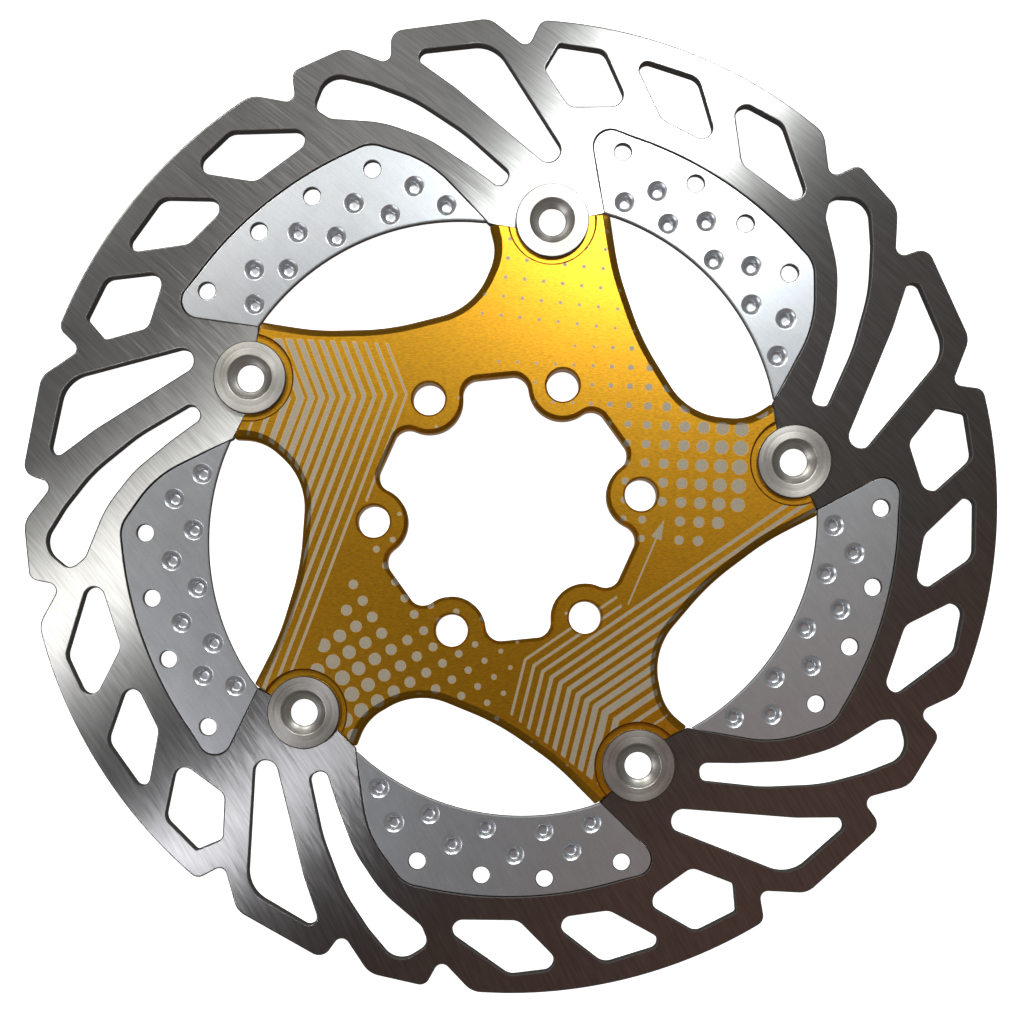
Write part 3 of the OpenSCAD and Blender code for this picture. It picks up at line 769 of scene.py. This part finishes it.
def carrier():
    s = Shell()

    def arm_low():
        j1 = meets(TIP[0], TIP[1], SEAT, 7.0)[0]
        j2 = meets(TIP[2], TIP[3], SEAT, 7.0)[-1]
        return [TIP[0], j1 + (0,), TIP[1]] + seat(TIP[1], TIP[2], -1) + [TIP[2], j2 + (0,), TIP[3]] + SIDE

    def arm_up(r):
        j1 = meets(TIP[0], TIP[1], SEAT, r)[0]
        j2 = meets(TIP[2], TIP[3], SEAT, r)[-1]
        a, b = bearing(j1, SEAT) % 360, bearing(j2, SEAT) + 360
        return [TIP[0]] + [(x, y, 0) for x, y in arc(SEAT, r, a, b, 44)] + [TIP[3]] + SIDE

    def outline(P, g, counts=None, tip=0):
        n = len(P)
        P = P[:-5] + [TIP[3][:2] + (max(0.25, TIP[3][2] - 0.5 * g),)] + SIDE
        D = [g if i >= n - 5 else tip if i in (0, n - 6) else 0 for i in range(n)]
        return rounded(shifted(all_arms(P), D * ARMS), counts)

    low0 = arm_low()
    _, counts = outline(low0, 0)
    lows = [s.loop(outline(low0, g, counts)[0], z) for z, g in
            [(0.15, 0.1), (0.25, 0), (1.58, 0), (1.66, 0.03), (FLOOR, 0.57)]]
    s.levels(lows, [0] * 4)
    _, counts_up = outline(arm_up(7.0), 0)
    ups = [s.loop(outline(arm_up(r), g, counts_up, max(0, z - 2.7))[0], z) for z, g, r in
           [(FLOOR, 0.57, 7.0), (2.74, 1.11, 7.0), (CARRIER_TOP, 1.37, 7.27), (CARRIER_TOP, 1.42, 7.32)]]
    rivets = [turn([SEAT], FIRST - 90 - STEP * k)[0] for k in range(ARMS)]
    # Next to the rivets the upper chamfer strip takes a dark brown: painted shade that draws the shadowed counterbore
    # edge as a dark line.
    for a, b, edge in zip(ups, ups[1:], (0, 1, 0)):
        for i in range(len(a)):
            j = (i + 1) % len(a)
            painted_shade_at_rivet = all(min(math.dist(s.v[q][:2], c) for c in rivets) < 7.5 for q in (a[i], a[j], b[i], b[j]))
            s.f.append(((a[i], a[j], b[j], b[i]), 1 if edge and painted_shade_at_rivet else 0, True))
    # counterbore floors
    n_low, n_up = len(low0), len(arm_up(7.0))
    for k in range(ARMS):
        i = sum(counts[:k * n_low + 1])
        part = lows[-1][i:i + sum(counts[k * n_low + 1:(k + 1) * n_low - 5])]
        j = sum(counts_up[:k * n_up + 1])
        back = ups[0][j:j + sum(counts_up[k * n_up + 1:(k + 1) * n_up - 5])]
        s.cap([part + back[-2:0:-1]])
    holes_top, holes_low = [], []
    loops = [s.loop(eye(g), z) for z, g in [(CARRIER_TOP, 0.68), (CARRIER_TOP, 0.62), (2.42, 0.04), (2.34, 0), (0.16, 0), (0.05, 0.05), (0, 0.14)]]
    s.levels(loops, [0] * 6)
    holes_top.append(loops[0])
    holes_low.append(loops[-1])
    for i in range(BOLTS):
        x, y = turn([(BOLT_R, 0)], BOLT_AT + i * 360 / BOLTS)[0]
        loops = s.lathe([(3.02, CARRIER_TOP), (2.96, CARRIER_TOP), (2.65, 2.69), (2.65, 0.2), (2.7, 0.08), (2.8, 0)], (x, y), 56)
        s.levels(loops, [0] * 5)
        holes_top.append(loops[0])
        holes_low.append(loops[-1])
    s.cap([ups[-1]] + holes_top)
    pad = s.lathe([(30.04, 0.15), (30.0, 0.12), (29.95, 0.03), (29.88, 0)], (0, 0), 144)
    s.levels(pad, [0] * 3)
    s.cap([lows[0], pad[0]])
    s.cap([pad[-1]] + holes_low)
    return s.make("carrier_body", [M_GOLD, M_GOLD_PAINTED_SHADE], "carrier", "spider")


def rivet(k):
    s = Shell()
    at = turn([SEAT], FIRST - 90 + STEP * (k - 1))[0]
    profile = [(3.22, -1.22), (3.3, -1.3), (3.72, -1.3), (3.79, -1.27), (3.2, -0.7), (3.2, -0.5), (3.95, -0.5), (4.0, -0.45),
               (4.0, FLOOR), (5.9, FLOOR), (5.98, 2.25), (6.0, 2.33), (6.0, 2.88), (5.83, 3.05), (5.78, 3.05), (5.6, 3.05), (4.87, 3.05), (4.83, 3.048), (4.79, 3.05), (3.8, 3.05), (3.74, 3.05), (3.68, 3.035), (3.62, 2.99), (3.5, 2.88), (3.2, 2.62),
               (2.9, 2.4), (2.66, 2.25), (2.45, 2.15), (2.31, 2.08), (2.22, 1.99), (2.2, 1.88), (2.26, 1.74), (2.85, 0.5), (2.99, -0.6)]
    loops = s.lathe(profile, at, 96)
    # The flange's side and top chamfer (strips 11 and 12) take the dark edge colour: painted shade that draws a dark
    # shadow line round the flange.
    s.levels(loops + [loops[0]], [1 if 11 <= i <= 12 else 0 for i in range(len(loops))])
    return s.make(f"rivet_{k}", [M_TURNED, M_RING_EDGE_AND_SHADE], f"bobbin_{k}", f"bobbin_{k}", ring_uv=at)


def back_washer(k):
    s = Shell()
    at = turn([SEAT], FIRST - 90 + STEP * (k - 1))[0]
    profile = [(3.27, -0.5), (3.23, -0.54), (3.23, -0.69), (3.81, -1.27), (3.88, -1.3), (5.66, -1.3), (5.8, -1.26), (5.88, -1.18), (5.9, -1.08),
               (5.9, -0.72), (5.88, -0.62), (5.8, -0.54), (5.66, -0.5)]
    loops = s.lathe(profile, at, 96)
    s.levels(loops + [loops[0]], [0] * len(loops))
    return s.make(f"back_washer_{k}", [M_TURNED], f"bobbin_{k}", f"rear_washer_{k}", ring_uv=at)


def spring_washer(k):
    s = Shell()
    place = FIRST - 90 + STEP * (k - 1)
    section = [(4.19, -0.1), (5.76, -0.1), (5.8, -0.06), (5.8, 0.06), (5.76, 0.1), (4.19, 0.1), (4.15, 0.06), (4.15, -0.06)]
    n = 120
    loops = []
    for r, h in section:
        first = len(s.v)
        for i in range(n):
            a = 360 * i / n
            x, y = turn([(r * math.cos(math.radians(a)), RIVET_R + r * math.sin(math.radians(a)))], place)[0]
            s.v.append((x, y, -0.25 + 0.12 * math.cos(math.radians(3 * a)) + h))
        loops.append(list(range(first, len(s.v))))
    s.levels(loops + [loops[0]], [0] * len(loops))
    return s.make(f"spring_washer_{k}", [M_SPRING], f"bobbin_{k}", f"wave_washer_{k}")


friction_ring()
carrier()
for number in range(1, ARMS + 1):
    cooling_fin(number)
    rivet(number)
    back_washer(number)
    spring_washer(number)


# ---------------------------------------------------------------- studio
def stage_object(name, verts, faces, mat):
    mesh = bpy.data.meshes.new(name)
    mesh.from_pydata(verts, [], faces)
    mesh.materials.append(mat)
    obj = bpy.data.objects.new(name, mesh)
    bpy.context.scene.collection.objects.link(obj)
    for ray in ("diffuse", "glossy", "transmission", "shadow"):
        setattr(obj, "visible_" + ray, False)
    return obj


def paper(name, one_sided):
    """White studio paper, evenly lit. A one-sided sheet is clear from below."""
    mat = bpy.data.materials.new(name)
    mat.use_nodes = True
    tree = mat.node_tree
    b = tree.nodes["Principled BSDF"]
    b.inputs["Base Color"].default_value = (0.9, 0.9, 0.9, 1)
    b.inputs["Roughness"].default_value = 0.9
    b.inputs["Emission Color"].default_value = (1, 1, 1, 1)
    b.inputs["Emission Strength"].default_value = 1.0
    if one_sided:
        back = tree.nodes.new("ShaderNodeNewGeometry")
        clear = tree.nodes.new("ShaderNodeBsdfTransparent")
        mix = tree.nodes.new("ShaderNodeMixShader")
        tree.links.new(back.outputs["Backfacing"], mix.inputs[0])
        tree.links.new(b.outputs[0], mix.inputs[1])
        tree.links.new(clear.outputs[0], mix.inputs[2])
        tree.links.new(mix.outputs[0], tree.nodes["Material Output"].inputs[0])
    return mat


def floor(half=0.45, z=-0.0016):
    stage_object("floor", [(-half, -half, z), (half, -half, z), (half, half, z), (-half, half, z)], [(0, 1, 2, 3)],
                 paper("floor_paper", True))


def backdrop(radius=3.0, rings=12, around=32):
    """White paper all round, far away."""
    verts = [(radius * math.cos(math.radians(e)) * math.cos(2 * math.pi * i / around),
              radius * math.cos(math.radians(e)) * math.sin(2 * math.pi * i / around), radius * math.sin(math.radians(e)))
             for e in [-88 + 176 * j / rings for j in range(rings + 1)] for i in range(around)]
    faces = [(j * around + i, j * around + (i + 1) % around, (j + 1) * around + (i + 1) % around, (j + 1) * around + i)
             for j in range(rings) for i in range(around)]
    faces += [tuple(range(around)), tuple(range(rings * around, (rings + 1) * around))]
    stage_object("backdrop", verts, faces, paper("backdrop_paper", False))


def soft_box(name, at, size, spin, radiance):
    """Light panel 600 mm above the floor that faces straight down, sizes in mm, radiance per colour."""
    data = bpy.data.lights.new(name, "AREA")
    data.shape = "RECTANGLE"
    data.size, data.size_y = size[0] * MM, size[1] * MM
    top = max(radiance)
    data.energy = top * math.pi * data.size * data.size_y
    data.color = [c / top for c in radiance]
    obj = bpy.data.objects.new(name, data)
    obj.location = (at[0] * MM, at[1] * MM, 0.6)
    obj.rotation_euler = (0, 0, math.radians(spin))
    bpy.context.scene.collection.objects.link(obj)
    return obj


def room(stops):
    """Light from all round that changes with height only: (sine of the height, colour)."""
    world = bpy.data.worlds.new("room")
    bpy.context.scene.world = world
    world.use_nodes = True
    tree = world.node_tree
    co = tree.nodes.new("ShaderNodeTexCoord")
    sep = tree.nodes.new("ShaderNodeSeparateXYZ")
    tree.links.new(co.outputs["Generated"], sep.inputs[0])
    span = tree.nodes.new("ShaderNodeMapRange")
    tree.links.new(sep.outputs[2], span.inputs[0])
    span.inputs[1].default_value = -1.0
    ramp = tree.nodes.new("ShaderNodeValToRGB")
    tree.links.new(span.outputs[0], ramp.inputs[0])
    steps = ramp.color_ramp.elements
    while len(steps) < len(stops):
        steps.new(0.5)
    for step, (h, colour) in zip(steps, stops):
        step.position = (h + 1) / 2
    for step, (h, colour) in zip(steps, stops):
        step.color = tuple(colour) + (1,)
    tree.links.new(ramp.outputs[0], tree.nodes["Background"].inputs["Color"])
    tree.nodes["Background"].inputs["Strength"].default_value = 1.0


floor()
backdrop()
soft_box("key", (122, 348), (182, 85), 36, (41.5, 43.5, 43.0))
soft_box("lower_left", (-299, -209), (74, 40), 29, (43.0, 43.4, 46.3))
soft_box("left", (-506, -156), (65, 72), -1, (20.4, 21.0, 22.5))
soft_box("left_end", (-443, -98), (43, 117), -56, (28.5, 27.9, 25.8))
soft_box("upper_left", (-259, 488), (102, 388), -16, (20.8, 20.5, 19.0))
soft_box("right", (209, 114), (83, 347), -13, (0.37, 0.33, 0.305))
soft_box("near", (217, -169), (296, 274), -34, (0.28, 0.14, 0.105))
soft_box("far", (42, 457), (512, 505), -1, (0.40, 0.405, 0.42))
room([(-1.0, (0.25, 0.24, 0.23)), (-0.6, (0.2, 0.19, 0.18)), (-0.35, (0.03, 0.025, 0.02)), (0.2, (0.03, 0.025, 0.02)), (0.35, (0.25, 0.24, 0.23)),
      (0.65, (0.25, 0.24, 0.23)), (0.82, (0.008, 0.0064, 0.006)), (1.0, (0.008, 0.0064, 0.006))])

camera = bpy.data.cameras.new("camera")
camera.lens = 44.84
camera.sensor_width = 36
camera.shift_x = 0.030
camera.shift_y = 0.1518
camera.clip_start = 0.01
eye_point = bpy.data.objects.new("camera", camera)
eye_point.location = (0.0002, -0.0232, 0.212)
eye_point.rotation_euler = [math.radians(a) for a in (-0.793, 1.203, 0.059)]
bpy.context.scene.collection.objects.link(eye_point)
bpy.context.scene.camera = eye_point
bpy.context.scene.view_settings.view_transform = "Standard"

bpy.context.view_layer.update()
